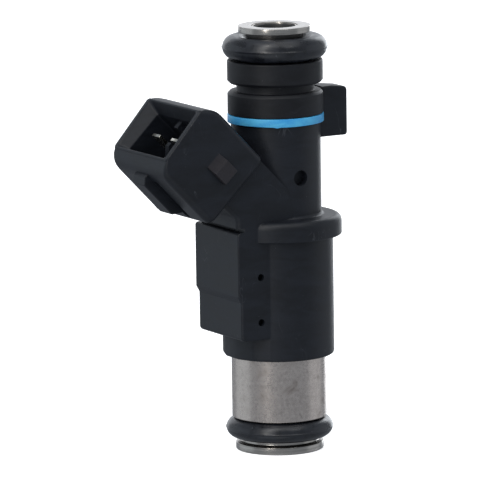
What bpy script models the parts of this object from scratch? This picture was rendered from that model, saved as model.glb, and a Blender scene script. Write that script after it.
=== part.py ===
"""Top-feed petrol fuel injector with a two-blade socket, built as separate pieces.

The injector axis is +Z and the outer face of the spray plate is at the origin.
The socket points to -X and upwards, and the locating tab is on +X.
All lengths below are in millimetres and are turned into metres as meshes are made.
"""

import math

import bmesh
import bpy
from mathutils import Vector

MM = 0.001

# Facets round the large outer pieces and round the small inner ones
OUTER_STEPS = 40
INNER_STEPS = 24
RING_SECTION_STEPS = 10

# Steel end ring that keeps the lower seal on the nozzle
LIP_RADIUS = 6.10
LIP_BOTTOM = -0.50
LIP_TOP = 0.55
END_NECK_RADIUS = 5.30
END_RING_TOP = 1.12
NOZZLE_RADIUS = 4.02

# Rubber seals: ring radius, height, half width and half height of the section
LOWER_SEAL = (5.77, 2.60, 1.64, 1.42)
UPPER_SEAL = (5.61, 55.85, 1.64, 1.64)

# Steel lower sleeve
SLEEVE_RADIUS = 6.55
SLEEVE_BOTTOM = 4.12
SLEEVE_SHOULDER = 14.60
SLEEVE_TOP = 17.40
ARMATURE_BORE = 3.60

# Valve
BALL_RADIUS = 1.40
BALL_HEIGHT = 2.60
SEAT_GAP = 0.05
SEAT_RADIUS = 3.25
NEEDLE_RADIUS = 1.00
NEEDLE_TOP = 16.90
ARMATURE_RADIUS = 3.50
ARMATURE_BOTTOM = 14.60
ARMATURE_TOP = 20.30
POLE_FACE = 20.50

# Steel inlet tube
TUBE_RADIUS = 3.88
POLE_RADIUS = 4.30
POLE_TOP = 26.10
SPRING_BORE = 1.75
FILTER_BORE = 3.20
TUBE_TOP = 57.87
DISC_RADIUS = 5.05
DISC_BOTTOM = 57.95
DISC_TOP = 58.83

# Turned outline of the moulded body
BODY_RADIUS = 7.75
BODY_BOTTOM = 12.90
FLANGE_RADIUS = 8.98
FLANGE_BOTTOM = 29.70
FLANGE_TOP = 32.45
UPPER_RADIUS = 6.20
UPPER_TOP = 45.42
SPIGOT_RADIUS = 4.70
SPIGOT_TOP = 50.00
COIL_CAVITY_RADIUS = 7.15
COIL_CAVITY_BOTTOM = 14.00
COIL_CAVITY_TOP = 28.30
TUBE_BORE = 3.96

# Flat-sided box on the front of the body, and the neck above it
BOX_HALF_WIDTH = 6.12
BOX_FRONT = 9.66
BOX_TOP = 31.40
BOX_STEP = 22.50
BOX_LOWER_FRONT = 9.28
BOX_BOTTOM = 16.20
GROOVE_DEPTH = 1.00
GROOVE_TOP = 32.00

# Socket housing: its lower front corner, the slope of its axis and its outline
SOCKET_CORNER = (-22.15, 40.68)
SOCKET_SLOPE = math.radians(45.8)
SOCKET_HALF_WIDTH = 7.60
SOCKET_BACK = 11.00
SOCKET_DEPTH = 12.10
MOUTH_LOW_FRONT = 1.05
MOUTH_HIGH_FRONT = 1.75
MOUTH_LOW = 1.80
MOUTH_HIGH = 10.45
MOUTH_BACK_CUT = -0.35
WELL_HALF_WIDTH = 5.50
WELL_LOW = 2.75
WELL_HIGH = 9.25
MOUTH_WALL = 0.80
MOUTH_LIP = 0.45
LEAD_IN = 1.15
SOCKET_FLOOR = -7.20
LATCH_HALF_WIDTH = 1.70
LATCH_HEIGHT = 1.20
LATCH_RUN = (-8.30, -1.10)
POCKET_RUN = (-10.00, -2.20)
POCKET_DEPTH = 1.30
POCKET_HALF_WIDTH = 2.95
NUB_LOW = 5.40
NUB_WIDTH = 2.60
NUB_START = -4.20
NUB_END = -8.10
NUB_HEIGHT = 0.75
NUB_RAMP = 1.65
BACK_KEY = (-0.70, 8.10)
FRONT_KEY = (-1.30, 6.10)
KEY_HALF_WIDTH = 0.50
BLADE_SPACING = 5.20
BLADE_WIDTH = 2.00
BLADE_THICKNESS = 0.64
BLADE_LEVEL = 6.15
BLADE_TIP = -0.48
BLADE_BEND_X = -5.00
BLADE_END = 26.30

# Small moulded holes in both flanks of the body
PIN_HOLE_X = 0.35
PIN_HOLE_Z = 38.20
PIN_HOLE_RADIUS = 1.08
VENT_X = -6.15
VENT_HEIGHTS = (24.95, 18.65)
VENT_RADIUS = 0.48

# Locating tab
TAB_END = 10.50
TAB_HALF_WIDTH = 1.70
TAB_BOTTOM = 42.80
TAB_TOP = 49.85
TAB_CLEAR_OF_COLLAR = 6.80
TAB_FOOT_TOP = 45.30

# Colour ring and retaining collar
RING_RADIUS = 6.67
RING_BOTTOM = 45.50
RING_TOP = 46.58
COLLAR_RADIUS = 6.62
COLLAR_BOTTOM = 46.66
COLLAR_TOP = 54.10
CLIP_GROOVE_RADIUS = 5.35
CLIP_GROOVE_BOTTOM = 49.80
CLIP_GROOVE_TOP = 50.90

# Return spring
SPRING_RADIUS = 1.30
SPRING_WIRE = 0.22
SPRING_TURNS = 8
SPRING_BOTTOM = 18.58
SPRING_TOP = 30.92


def clear_scene():
    for old in list(bpy.data.objects):
        bpy.data.objects.remove(old)


def make_material(name, colour, roughness, metallic):
    material = bpy.data.materials.new(name)
    material.use_nodes = True
    shader = material.node_tree.nodes["Principled BSDF"]
    shader.inputs["Base Color"].default_value = (*colour, 1.0)
    shader.inputs["Roughness"].default_value = roughness
    shader.inputs["Metallic"].default_value = metallic
    return material


def object_from_bmesh(name, shape, origin_z=0.0):
    """Close a bmesh into an object whose origin is on the axis at origin_z."""
    bmesh.ops.remove_doubles(shape, verts=shape.verts, dist=0.0001 * MM)
    bmesh.ops.recalc_face_normals(shape, faces=shape.faces)
    bmesh.ops.translate(shape, verts=shape.verts, vec=(0.0, 0.0, -origin_z * MM))
    mesh = bpy.data.meshes.new(name)
    shape.to_mesh(mesh)
    shape.free()
    piece = bpy.data.objects.new(name, mesh)
    piece.location = (0.0, 0.0, origin_z * MM)
    bpy.context.scene.collection.objects.link(piece)
    return piece


def turned(name, outline, steps):
    """Spin a closed outline of (radius, height) points round the axis."""
    shape = bmesh.new()
    corners = [shape.verts.new((radius * MM, 0.0, height * MM)) for radius, height in outline]
    edges = []
    for index, corner in enumerate(corners):
        following = (index + 1) % len(corners)
        along_axis = outline[index][0] == 0.0 and outline[following][0] == 0.0
        if not along_axis:
            edges.append(shape.edges.new((corner, corners[following])))
    bmesh.ops.spin(
        shape, geom=corners + edges, cent=(0, 0, 0), axis=(0, 0, 1),
        angle=2 * math.pi, steps=steps, use_merge=True,
    )
    lowest = min(height for radius, height in outline)
    return object_from_bmesh(name, shape, lowest)


def seal_ring(name, sizes, steps, section_steps):
    """A rubber ring with an oval section."""
    ring_radius, height, half_width, half_height = sizes
    outline = []
    for index in range(section_steps):
        angle = 2 * math.pi * index / section_steps
        radius = ring_radius + half_width * math.cos(angle)
        outline.append((radius, height + half_height * math.sin(angle)))
    return turned(name, outline, steps)


def side_prism(name, outline, low_y, high_y):
    """Extrude a closed outline of (x, z) points from low_y to high_y."""
    shape = bmesh.new()
    corners = [shape.verts.new((x * MM, low_y * MM, z * MM)) for x, z in outline]
    face = shape.faces.new(corners)
    grown = bmesh.ops.extrude_face_region(shape, geom=[face])
    moved = [item for item in grown["geom"] if isinstance(item, bmesh.types.BMVert)]
    bmesh.ops.translate(shape, verts=moved, vec=(0.0, (high_y - low_y) * MM, 0.0))
    return object_from_bmesh(name, shape)


def block(name, low, high):
    """A square-edged block between two corners."""
    outline = [(low[0], low[2]), (high[0], low[2]), (high[0], high[2]), (low[0], high[2])]
    return side_prism(name, outline, low[1], high[1])


def across_pin(name, x, z, radius, low_y, high_y, steps):
    """A round pin lying along Y."""
    outline = []
    for index in range(steps):
        angle = 2 * math.pi * (index + 0.5) / steps
        outline.append((x + radius * math.cos(angle), z + radius * math.sin(angle)))
    return side_prism(name, outline, low_y, high_y)


def combine(piece, tool, operation):
    """Join a tool shape to a piece or cut it out, and drop the tool."""
    modifier = piece.modifiers.new(operation.lower(), "BOOLEAN")
    modifier.operation = operation
    modifier.solver = "EXACT"
    modifier.object = tool
    bpy.context.view_layer.update()
    evaluated = piece.evaluated_get(bpy.context.evaluated_depsgraph_get())
    result = bpy.data.meshes.new_from_object(evaluated)
    piece.modifiers.remove(modifier)
    result.name = piece.name
    piece.data = result
    bpy.data.objects.remove(tool)


def bevel_edges(piece, width, segments, chosen):
    """Round the edges for which chosen(start, end) is true, in millimetres."""
    shape = bmesh.new()
    shape.from_mesh(piece.data)
    edges = []
    for edge in shape.edges:
        start, end = [vert.co / MM for vert in edge.verts]
        if chosen(start, end):
            edges.append(edge)
    bmesh.ops.bevel(
        shape, geom=edges, offset=width * MM, offset_type="OFFSET",
        segments=segments, profile=0.5, affect="EDGES", clamp_overlap=True,
    )
    shape.to_mesh(piece.data)
    shape.free()


def socket_point(along, across):
    """World (x, z) of a point given along and across the socket's sloping axis."""
    cosine = math.cos(SOCKET_SLOPE)
    sine = math.sin(SOCKET_SLOPE)
    x = SOCKET_CORNER[0] - along * cosine + across * sine
    z = SOCKET_CORNER[1] + along * sine + across * cosine
    return x, z


def socket_block(name, along, across, low_y, high_y):
    """A block lined up with the socket's sloping axis."""
    corners = [(along[0], across[0]), (along[1], across[0]), (along[1], across[1]), (along[0], across[1])]
    return side_prism(name, [socket_point(*corner) for corner in corners], low_y, high_y)


def strip_outline(path, thickness):
    """Outline of a bent strip that follows a three-point path."""
    start, bend, end = [Vector(point) for point in path]
    first = (bend - start).normalized()
    second = (end - bend).normalized()
    first_side = Vector((-first.y, first.x)) * thickness / 2
    second_side = Vector((-second.y, second.x)) * thickness / 2
    mitre = (first_side.normalized() + second_side.normalized()).normalized()
    mitre = mitre * thickness / 2 / mitre.dot(first_side.normalized())
    left = [start + first_side, bend + mitre, end + second_side]
    right = [end - second_side, bend - mitre, start - first_side]
    return [tuple(point) for point in left + right]


def blade_path(tip, end):
    """Centre line of a blade: down the socket's slope, then straight down."""
    tip_x, tip_z = socket_point(tip, BLADE_LEVEL)
    run = (BLADE_BEND_X - tip_x) / math.cos(SOCKET_SLOPE)
    bend_z = tip_z - run * math.sin(SOCKET_SLOPE)
    return [(tip_x, tip_z), (BLADE_BEND_X, bend_z), (BLADE_BEND_X, end)]


def blade_sides():
    """Low and high Y of the blade on each side, as (name, low, high)."""
    half = BLADE_WIDTH / 2
    centre = BLADE_SPACING / 2
    return [("left", -centre - half, -centre + half), ("right", centre - half, centre + half)]


# ---- Fuel inlet -----------------------------------------------------------

def make_inlet_tube():
    outline = [
        (ARMATURE_RADIUS, POLE_FACE), (ARMATURE_RADIUS, POLE_FACE + 1.1), (POLE_RADIUS, POLE_FACE + 1.1),
        (POLE_RADIUS, POLE_TOP), (TUBE_RADIUS, POLE_TOP), (TUBE_RADIUS, TUBE_TOP),
        (FILTER_BORE, TUBE_TOP), (FILTER_BORE, 47.50), (SPRING_BORE, 46.00), (SPRING_BORE, POLE_FACE),
    ]
    return turned("inlet_tube", outline, OUTER_STEPS)


def make_inlet_disc():
    edge = 0.08
    outline = [
        (FILTER_BORE + 0.06, DISC_BOTTOM), (DISC_RADIUS - edge, DISC_BOTTOM), (DISC_RADIUS, DISC_BOTTOM + edge),
        (DISC_RADIUS, DISC_TOP - edge), (DISC_RADIUS - edge, DISC_TOP), (FILTER_BORE + 0.06, DISC_TOP),
    ]
    return turned("inlet_disc", outline, OUTER_STEPS)


def make_filter_cup():
    outline = [(3.10, 54.50), (3.10, 58.78), (2.95, 58.78), (2.42, 58.25), (2.42, 54.50)]
    return turned("filter_cup", outline, INNER_STEPS)


def make_filter_screen():
    outline = [(2.32, 57.60), (2.05, 57.60), (1.65, 48.80), (0.0, 48.80), (0.0, 48.50), (1.92, 48.50)]
    return turned("filter_screen", outline, INNER_STEPS)


def make_adjusting_tube():
    outline = [(1.66, 31.20), (1.66, 41.00), (1.10, 41.00), (1.10, 31.20)]
    tube = turned("adjusting_tube", outline, INNER_STEPS)
    combine(tube, block("split", (0.0, -0.20, 30.0), (2.5, 0.20, 42.0)), "DIFFERENCE")
    return tube


# ---- Valve ----------------------------------------------------------------

def make_spray_plate():
    plate = turned("spray_plate", [(0.0, 0.0), (3.20, 0.0), (3.20, 0.25), (0.0, 0.25)], INNER_STEPS)
    for index in range(4):
        angle = math.radians(45 + 90 * index)
        x = 0.60 * math.cos(angle)
        y = 0.60 * math.sin(angle)
        hole = turned("hole", [(0.0, -0.2), (0.14, -0.2), (0.14, 0.5), (0.0, 0.5)], 8)
        hole.location.x = x * MM
        hole.location.y = y * MM
        combine(plate, hole, "DIFFERENCE")
    return plate


def make_valve_seat():
    cone_start = BALL_HEIGHT - (BALL_RADIUS + SEAT_GAP) * math.sqrt(2)
    outline = [
        (0.40, 0.32), (SEAT_RADIUS, 0.32), (SEAT_RADIUS, 3.80), (1.90, 3.80),
        (1.90, cone_start + 1.90), (0.40, cone_start + 0.40),
    ]
    return turned("valve_seat", outline, INNER_STEPS)


def make_needle_guide():
    outline = [(1.10, 3.90), (SEAT_RADIUS, 3.90), (SEAT_RADIUS, 4.80), (1.10, 4.80)]
    guide = turned("needle_guide", outline, INNER_STEPS)
    for index in range(5):
        angle = 2 * math.pi * (index + 0.5) / 5
        port = turned("port", [(0.0, 3.5), (0.40, 3.5), (0.40, 5.2), (0.0, 5.2)], 10)
        port.location.x = 2.15 * math.cos(angle) * MM
        port.location.y = 2.15 * math.sin(angle) * MM
        combine(guide, port, "DIFFERENCE")
    return guide


def make_valve_ball():
    shape = bmesh.new()
    bmesh.ops.create_uvsphere(shape, u_segments=20, v_segments=12, radius=BALL_RADIUS * MM)
    bmesh.ops.translate(shape, verts=shape.verts, vec=(0.0, 0.0, BALL_HEIGHT * MM))
    return object_from_bmesh("valve_ball", shape, BALL_HEIGHT)


def make_needle():
    outline = [(NEEDLE_RADIUS, 3.66), (NEEDLE_RADIUS, NEEDLE_TOP), (0.50, NEEDLE_TOP), (0.50, 3.99)]
    needle = turned("needle", outline, INNER_STEPS)
    combine(needle, across_pin("cross_hole", 0.0, 6.5, 0.35, -1.5, 1.5, 10), "DIFFERENCE")
    return needle


def make_armature():
    outline = [
        (NEEDLE_RADIUS + 0.06, ARMATURE_BOTTOM), (ARMATURE_RADIUS - 0.30, ARMATURE_BOTTOM),
        (ARMATURE_RADIUS, ARMATURE_BOTTOM + 0.30), (ARMATURE_RADIUS, ARMATURE_TOP),
        (SPRING_BORE, ARMATURE_TOP), (SPRING_BORE, 18.30), (0.70, 18.30), (0.70, 17.00),
        (NEEDLE_RADIUS + 0.06, 17.00),
    ]
    return turned("armature", outline, INNER_STEPS)


def make_return_spring():
    """A round wire swept along a helix, built ring by ring and capped."""
    shape = bmesh.new()
    around = 6
    steps = SPRING_TURNS * 12
    rings = []
    for index in range(steps + 1):
        turn = 2 * math.pi * SPRING_TURNS * index / steps
        height = SPRING_BOTTOM + (SPRING_TOP - SPRING_BOTTOM) * index / steps
        ring = []
        for side in range(around):
            angle = 2 * math.pi * side / around
            radius = SPRING_RADIUS + SPRING_WIRE * math.cos(angle)
            z = height + SPRING_WIRE * math.sin(angle)
            point = Vector((radius * math.cos(turn), radius * math.sin(turn), z))
            ring.append(shape.verts.new(point * MM))
        rings.append(ring)
    for lower, upper in zip(rings, rings[1:]):
        for side in range(around):
            after = (side + 1) % around
            shape.faces.new((lower[side], lower[after], upper[after], upper[side]))
    shape.faces.new(rings[0])
    shape.faces.new(rings[-1])
    return object_from_bmesh("return_spring", shape, SPRING_BOTTOM)


def make_nonmagnetic_ring():
    outline = [(3.62, 17.50), (POLE_RADIUS, 17.50), (POLE_RADIUS, 21.50), (3.62, 21.50)]
    return turned("nonmagnetic_ring", outline, INNER_STEPS)


# ---- Nozzle end -----------------------------------------------------------

def make_lower_sleeve():
    outline = [
        (3.35, 0.05), (NOZZLE_RADIUS, 0.05), (NOZZLE_RADIUS, SLEEVE_BOTTOM),
        (SLEEVE_RADIUS - 0.20, SLEEVE_BOTTOM), (SLEEVE_RADIUS, SLEEVE_BOTTOM + 0.20),
        (SLEEVE_RADIUS, SLEEVE_SHOULDER), (POLE_RADIUS, SLEEVE_SHOULDER), (POLE_RADIUS, SLEEVE_TOP),
        (ARMATURE_BORE, SLEEVE_TOP), (ARMATURE_BORE, 8.00), (2.60, 8.00), (2.60, 4.90), (3.35, 4.90),
    ]
    return turned("lower_sleeve", outline, OUTER_STEPS)


def make_end_ring():
    bore = NOZZLE_RADIUS + 0.08
    outline = [
        (bore, LIP_BOTTOM), (LIP_RADIUS - 0.15, LIP_BOTTOM), (LIP_RADIUS, LIP_BOTTOM + 0.15),
        (LIP_RADIUS, LIP_TOP - 0.10), (LIP_RADIUS - 0.12, LIP_TOP), (END_NECK_RADIUS + 0.25, LIP_TOP + 0.07),
        (END_NECK_RADIUS, LIP_TOP + 0.30), (END_NECK_RADIUS, END_RING_TOP), (bore, END_RING_TOP),
    ]
    return turned("end_ring", outline, OUTER_STEPS)


# ---- Coil -----------------------------------------------------------------

def make_coil_housing():
    outline = [(6.62, 14.10), (7.06, 14.10), (7.06, 28.20), (6.62, 28.20)]
    return turned("coil_housing", outline, OUTER_STEPS)


def make_flux_washer():
    outline = [(4.00, 27.10), (6.50, 27.10), (6.50, 28.10), (4.00, 28.10)]
    washer = turned("flux_washer", outline, INNER_STEPS)
    for side, low, high in blade_sides():
        notch = block("notch", (-7.5, low - 0.15, 26.8), (-4.5, high + 0.15, 28.4))
        combine(washer, notch, "DIFFERENCE")
    return washer


def make_coil_bobbin():
    outline = [
        (4.42, 15.40), (6.50, 15.40), (6.50, 16.20), (5.00, 16.20),
        (5.00, 25.20), (6.50, 25.20), (6.50, 26.00), (4.42, 26.00),
    ]
    return turned("coil_bobbin", outline, INNER_STEPS)


def make_coil_winding():
    outline = [(5.08, 16.30), (6.30, 16.30), (6.30, 25.10), (5.08, 25.10)]
    return turned("coil_winding", outline, INNER_STEPS)


def make_terminal(side, low, high):
    outline = strip_outline(blade_path(BLADE_TIP, BLADE_END), BLADE_THICKNESS)
    return side_prism("terminal_" + side, outline, low, high)


# ---- Collar and colour ring -----------------------------------------------

def make_colour_ring():
    outline = [
        (SPIGOT_RADIUS + 0.10, RING_BOTTOM), (RING_RADIUS, RING_BOTTOM),
        (RING_RADIUS, RING_TOP), (SPIGOT_RADIUS + 0.10, RING_TOP),
    ]
    return turned("colour_ring", outline, OUTER_STEPS)


def make_retaining_collar():
    edge = 0.36
    outline = [
        (SPIGOT_RADIUS + 0.10, COLLAR_BOTTOM), (COLLAR_RADIUS, COLLAR_BOTTOM),
        (COLLAR_RADIUS, CLIP_GROOVE_BOTTOM - edge), (COLLAR_RADIUS - edge, CLIP_GROOVE_BOTTOM),
        (CLIP_GROOVE_RADIUS, CLIP_GROOVE_BOTTOM), (CLIP_GROOVE_RADIUS, CLIP_GROOVE_TOP),
        (COLLAR_RADIUS - edge, CLIP_GROOVE_TOP), (COLLAR_RADIUS, CLIP_GROOVE_TOP + edge),
        (COLLAR_RADIUS, COLLAR_TOP), (TUBE_BORE, COLLAR_TOP), (TUBE_BORE, SPIGOT_TOP + 0.10),
        (SPIGOT_RADIUS + 0.10, SPIGOT_TOP + 0.10),
    ]
    return turned("retaining_collar", outline, OUTER_STEPS)


# ---- Moulded body ---------------------------------------------------------

def arc_points(centre, radius, start, end, count):
    """Points along an arc in (radius, height), angles in degrees."""
    points = []
    for index in range(count):
        angle = math.radians(start + (end - start) * index / (count - 1))
        points.append((centre[0] + radius * math.cos(angle), centre[1] + radius * math.sin(angle)))
    return points


def make_body_core():
    """The round part: lower barrel, flange, upper barrel and spigot."""
    rounding = 0.90
    outline = [
        (0.0, BODY_BOTTOM), (BODY_RADIUS - 0.35, BODY_BOTTOM), (BODY_RADIUS, BODY_BOTTOM + 0.35),
        (BODY_RADIUS, FLANGE_BOTTOM), (FLANGE_RADIUS, FLANGE_BOTTOM),
    ]
    outline += arc_points((FLANGE_RADIUS - rounding, FLANGE_TOP - rounding), rounding, 0, 90, 4)
    outline += [
        (UPPER_RADIUS, FLANGE_TOP), (UPPER_RADIUS, UPPER_TOP), (SPIGOT_RADIUS, UPPER_TOP),
        (SPIGOT_RADIUS, SPIGOT_TOP), (0.0, SPIGOT_TOP),
    ]
    return turned("overmould_body", outline, OUTER_STEPS)


def make_front_box():
    """The flat-sided box, the groove over it and the neck that carries the socket."""
    corner = 1.00
    outline = [(-1.0, BOX_BOTTOM), (-BOX_LOWER_FRONT + corner, BOX_BOTTOM)]
    lower_corner = arc_points((BOX_LOWER_FRONT - corner, BOX_BOTTOM + corner), corner, -60, 0, 3)
    outline += [(-radius, height) for radius, height in lower_corner]
    outline += [
        (-BOX_LOWER_FRONT, BOX_STEP - 1.00), (-BOX_FRONT, BOX_STEP), (-BOX_FRONT, BOX_TOP - 0.40),
        (-BOX_FRONT + 0.40, BOX_TOP), (-BOX_FRONT + GROOVE_DEPTH, BOX_TOP),
        (-BOX_FRONT + GROOVE_DEPTH, GROOVE_TOP), (-BOX_FRONT, GROOVE_TOP), (-BOX_FRONT, 33.40),
    ]
    inside_housing = -SOCKET_BACK + 0.5
    outline += [socket_point(inside_housing, 3.50), socket_point(inside_housing, SOCKET_DEPTH - 0.15)]
    outline += [socket_point(-17.0, SOCKET_DEPTH - 0.15)]
    outline += [(-1.0, 34.0)]
    box = side_prism("front_box", outline, -BOX_HALF_WIDTH, BOX_HALF_WIDTH)
    side_faces = BOX_HALF_WIDTH - 0.01

    def on_front_corner(start, end):
        upright = abs(start.x - end.x) < 0.01 and abs(start.z - end.z) > 2.0
        outside = start.x < -8.9
        return upright and outside and abs(start.y) > side_faces and start.y * end.y > 0

    bevel_edges(box, 0.35, 1, on_front_corner)
    return box


def make_socket_housing():
    """The sloping block that holds the socket, with its edges rounded."""
    outline = [
        (0.0, 0.0), (MOUTH_LOW_FRONT, MOUTH_LOW), (MOUTH_HIGH_FRONT, MOUTH_HIGH),
        (MOUTH_BACK_CUT, SOCKET_DEPTH), (-SOCKET_BACK, SOCKET_DEPTH), (-SOCKET_BACK, 0.0),
    ]
    points = [socket_point(*point) for point in outline]
    housing = side_prism("socket_housing", points, -SOCKET_HALF_WIDTH, SOCKET_HALF_WIDTH)
    side_faces = SOCKET_HALF_WIDTH - 0.01

    def on_side_outline(start, end):
        return abs(start.y) > side_faces and abs(end.y) > side_faces and start.y * end.y > 0

    bevel_edges(housing, 0.70, 2, on_side_outline)
    return housing


def make_tab():
    """The locating tab, hollowed out above its foot so that it clears the collar."""
    tab = block("tab", (5.0, -TAB_HALF_WIDTH, TAB_BOTTOM), (TAB_END, TAB_HALF_WIDTH, TAB_TOP))
    above = TAB_TOP + 1.0
    clearance = [(0.0, TAB_FOOT_TOP), (TAB_CLEAR_OF_COLLAR, TAB_FOOT_TOP), (TAB_CLEAR_OF_COLLAR, above), (0.0, above)]
    combine(tab, turned("clearance", clearance, OUTER_STEPS), "DIFFERENCE")
    return tab


def make_latch_nub(side):
    """The ramp on one flank of the socket that a plug clips over."""
    ramp = [
        (NUB_START, 0.0), (NUB_START - NUB_RAMP, NUB_HEIGHT), (NUB_END, NUB_HEIGHT),
        (NUB_END, -0.50), (NUB_START, -0.50),
    ]
    shape = bmesh.new()
    corners = []
    for along, out in ramp:
        x, z = socket_point(along, NUB_LOW)
        corners.append(shape.verts.new(Vector((x, side * (SOCKET_HALF_WIDTH + out), z)) * MM))
    face = shape.faces.new(corners)
    grown = bmesh.ops.extrude_face_region(shape, geom=[face])
    moved = [item for item in grown["geom"] if isinstance(item, bmesh.types.BMVert)]
    start_x, start_z = socket_point(0.0, 0.0)
    end_x, end_z = socket_point(0.0, NUB_WIDTH)
    step = Vector((end_x - start_x, 0.0, end_z - start_z)) * MM
    bmesh.ops.translate(shape, verts=moved, vec=step)
    return object_from_bmesh("latch_nub", shape)


def make_socket_cavity():
    """The space inside the socket: a flared mouth and a straight well."""
    mouth = (SOCKET_HALF_WIDTH - MOUTH_WALL, MOUTH_LOW + MOUTH_LIP, MOUTH_HIGH - MOUTH_LIP)
    well = (WELL_HALF_WIDTH, WELL_LOW, WELL_HIGH)
    levels = [(MOUTH_HIGH_FRONT + 1.0, *mouth), (MOUTH_LOW_FRONT - 0.05, *mouth)]
    levels += [(MOUTH_LOW_FRONT - LEAD_IN, *well), (SOCKET_FLOOR, *well)]
    shape = bmesh.new()
    rings = []
    for along, half_width, low, high in levels:
        ring = []
        for y, across in [(-half_width, low), (half_width, low), (half_width, high), (-half_width, high)]:
            x, z = socket_point(along, across)
            ring.append(shape.verts.new(Vector((x, y, z)) * MM))
        rings.append(ring)
    for upper, lower in zip(rings, rings[1:]):
        for index in range(4):
            after = (index + 1) % 4
            shape.faces.new((upper[index], upper[after], lower[after], lower[index]))
    shape.faces.new(rings[0])
    shape.faces.new(rings[-1])
    return object_from_bmesh("socket_cavity", shape)


def make_overmould_body():
    body = make_body_core()
    for piece in [make_front_box(), make_socket_housing(), make_latch_nub(1), make_latch_nub(-1)]:
        combine(body, piece, "UNION")
    rib_span = (-LATCH_HEIGHT, 1.0)
    rib = socket_block("latch_rib", LATCH_RUN, rib_span, -LATCH_HALF_WIDTH, LATCH_HALF_WIDTH)
    combine(body, rib, "UNION")
    combine(body, make_tab(), "UNION")
    for side in (-1, 1):
        low, high = sorted((side * (LATCH_HALF_WIDTH + 0.05), side * POCKET_HALF_WIDTH))
        pocket = socket_block("pocket", POCKET_RUN, (-2.0, POCKET_DEPTH), low, high)
        combine(body, pocket, "DIFFERENCE")
    combine(body, make_socket_cavity(), "DIFFERENCE")
    wall_keys = [(BACK_KEY[0], BACK_KEY[1], WELL_HIGH + 0.20), (FRONT_KEY[0], WELL_LOW - 0.20, FRONT_KEY[1])]
    for start, low, high in wall_keys:
        key_run = (SOCKET_FLOOR - 0.5, start)
        key = socket_block("key", key_run, (low, high), -KEY_HALF_WIDTH, KEY_HALF_WIDTH)
        combine(body, key, "UNION")
    slot_outline = strip_outline(blade_path(SOCKET_FLOOR + 1.0, 27.5), BLADE_THICKNESS + 0.16)
    for side, low, high in blade_sides():
        slot = side_prism("slot", slot_outline, low - 0.08, high + 0.08)
        combine(body, slot, "DIFFERENCE")
    for side in (-1, 1):
        low, high = sorted((side * 4.90, side * 7.00))
        combine(body, across_pin("core_pin", PIN_HOLE_X, PIN_HOLE_Z, PIN_HOLE_RADIUS, low, high, 16), "DIFFERENCE")
        for z in VENT_HEIGHTS:
            low, high = sorted((side * 5.00, side * 7.00))
            combine(body, across_pin("vent", VENT_X, z, VENT_RADIUS, low, high, 10), "DIFFERENCE")
    inside = [
        (0.0, 12.0), (SLEEVE_RADIUS + 0.06, 12.0), (SLEEVE_RADIUS + 0.06, COIL_CAVITY_BOTTOM),
        (COIL_CAVITY_RADIUS, COIL_CAVITY_BOTTOM), (COIL_CAVITY_RADIUS, COIL_CAVITY_TOP),
        (TUBE_BORE, COIL_CAVITY_TOP), (TUBE_BORE, 51.0), (0.0, 51.0),
    ]
    combine(body, turned("inside", inside, OUTER_STEPS), "DIFFERENCE")
    return body


def parent_to(name, location, pieces):
    """Hang pieces from an empty without moving them."""
    holder = bpy.data.objects.new(name, None)
    holder.location = Vector(location) * MM
    bpy.context.scene.collection.objects.link(holder)
    for piece in pieces:
        piece.parent = holder
        piece.location = piece.location - holder.location


def finish(piece, material):
    piece.data.materials.clear()
    piece.data.materials.append(material)
    piece.data.shade_smooth()
    piece.data.set_sharp_from_angle(angle=math.radians(35))


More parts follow.
